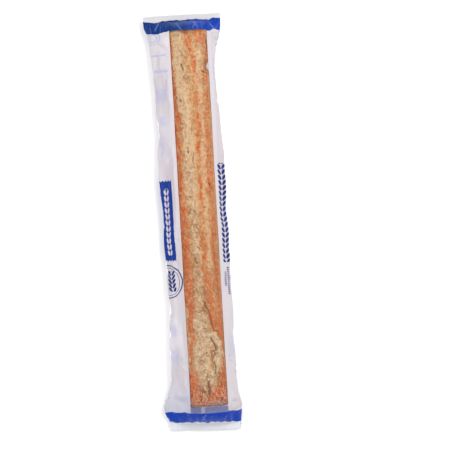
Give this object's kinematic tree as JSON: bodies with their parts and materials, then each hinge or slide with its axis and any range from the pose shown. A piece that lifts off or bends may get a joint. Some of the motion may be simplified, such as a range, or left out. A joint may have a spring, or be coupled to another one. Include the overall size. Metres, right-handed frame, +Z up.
{
  "type": "baguette in a window bag",
  "caption": "Long flat-bottomed baguette sealed in a white flow-wrap bag with a clear front window and blue end bands.",
  "frame": {"origin": "centre of the bag's outline, on the surface that the bag lies on", "axes": "+Y along the loaf towards the end that lies nearest its seal, +Z up out of the window, +X to the right seen from above with +Y away"},
  "size_m": [0.1062, 0.588, 0.0422],
  "materials": {
    "crust": "matte",
    "printed_film": "satin",
    "clear_film": "gloss"
  },
  "bodies": {
    "root": {"loaf": "crust", "bag": "printed_film", "window": "clear_film"}
  },
  "joints": []
}
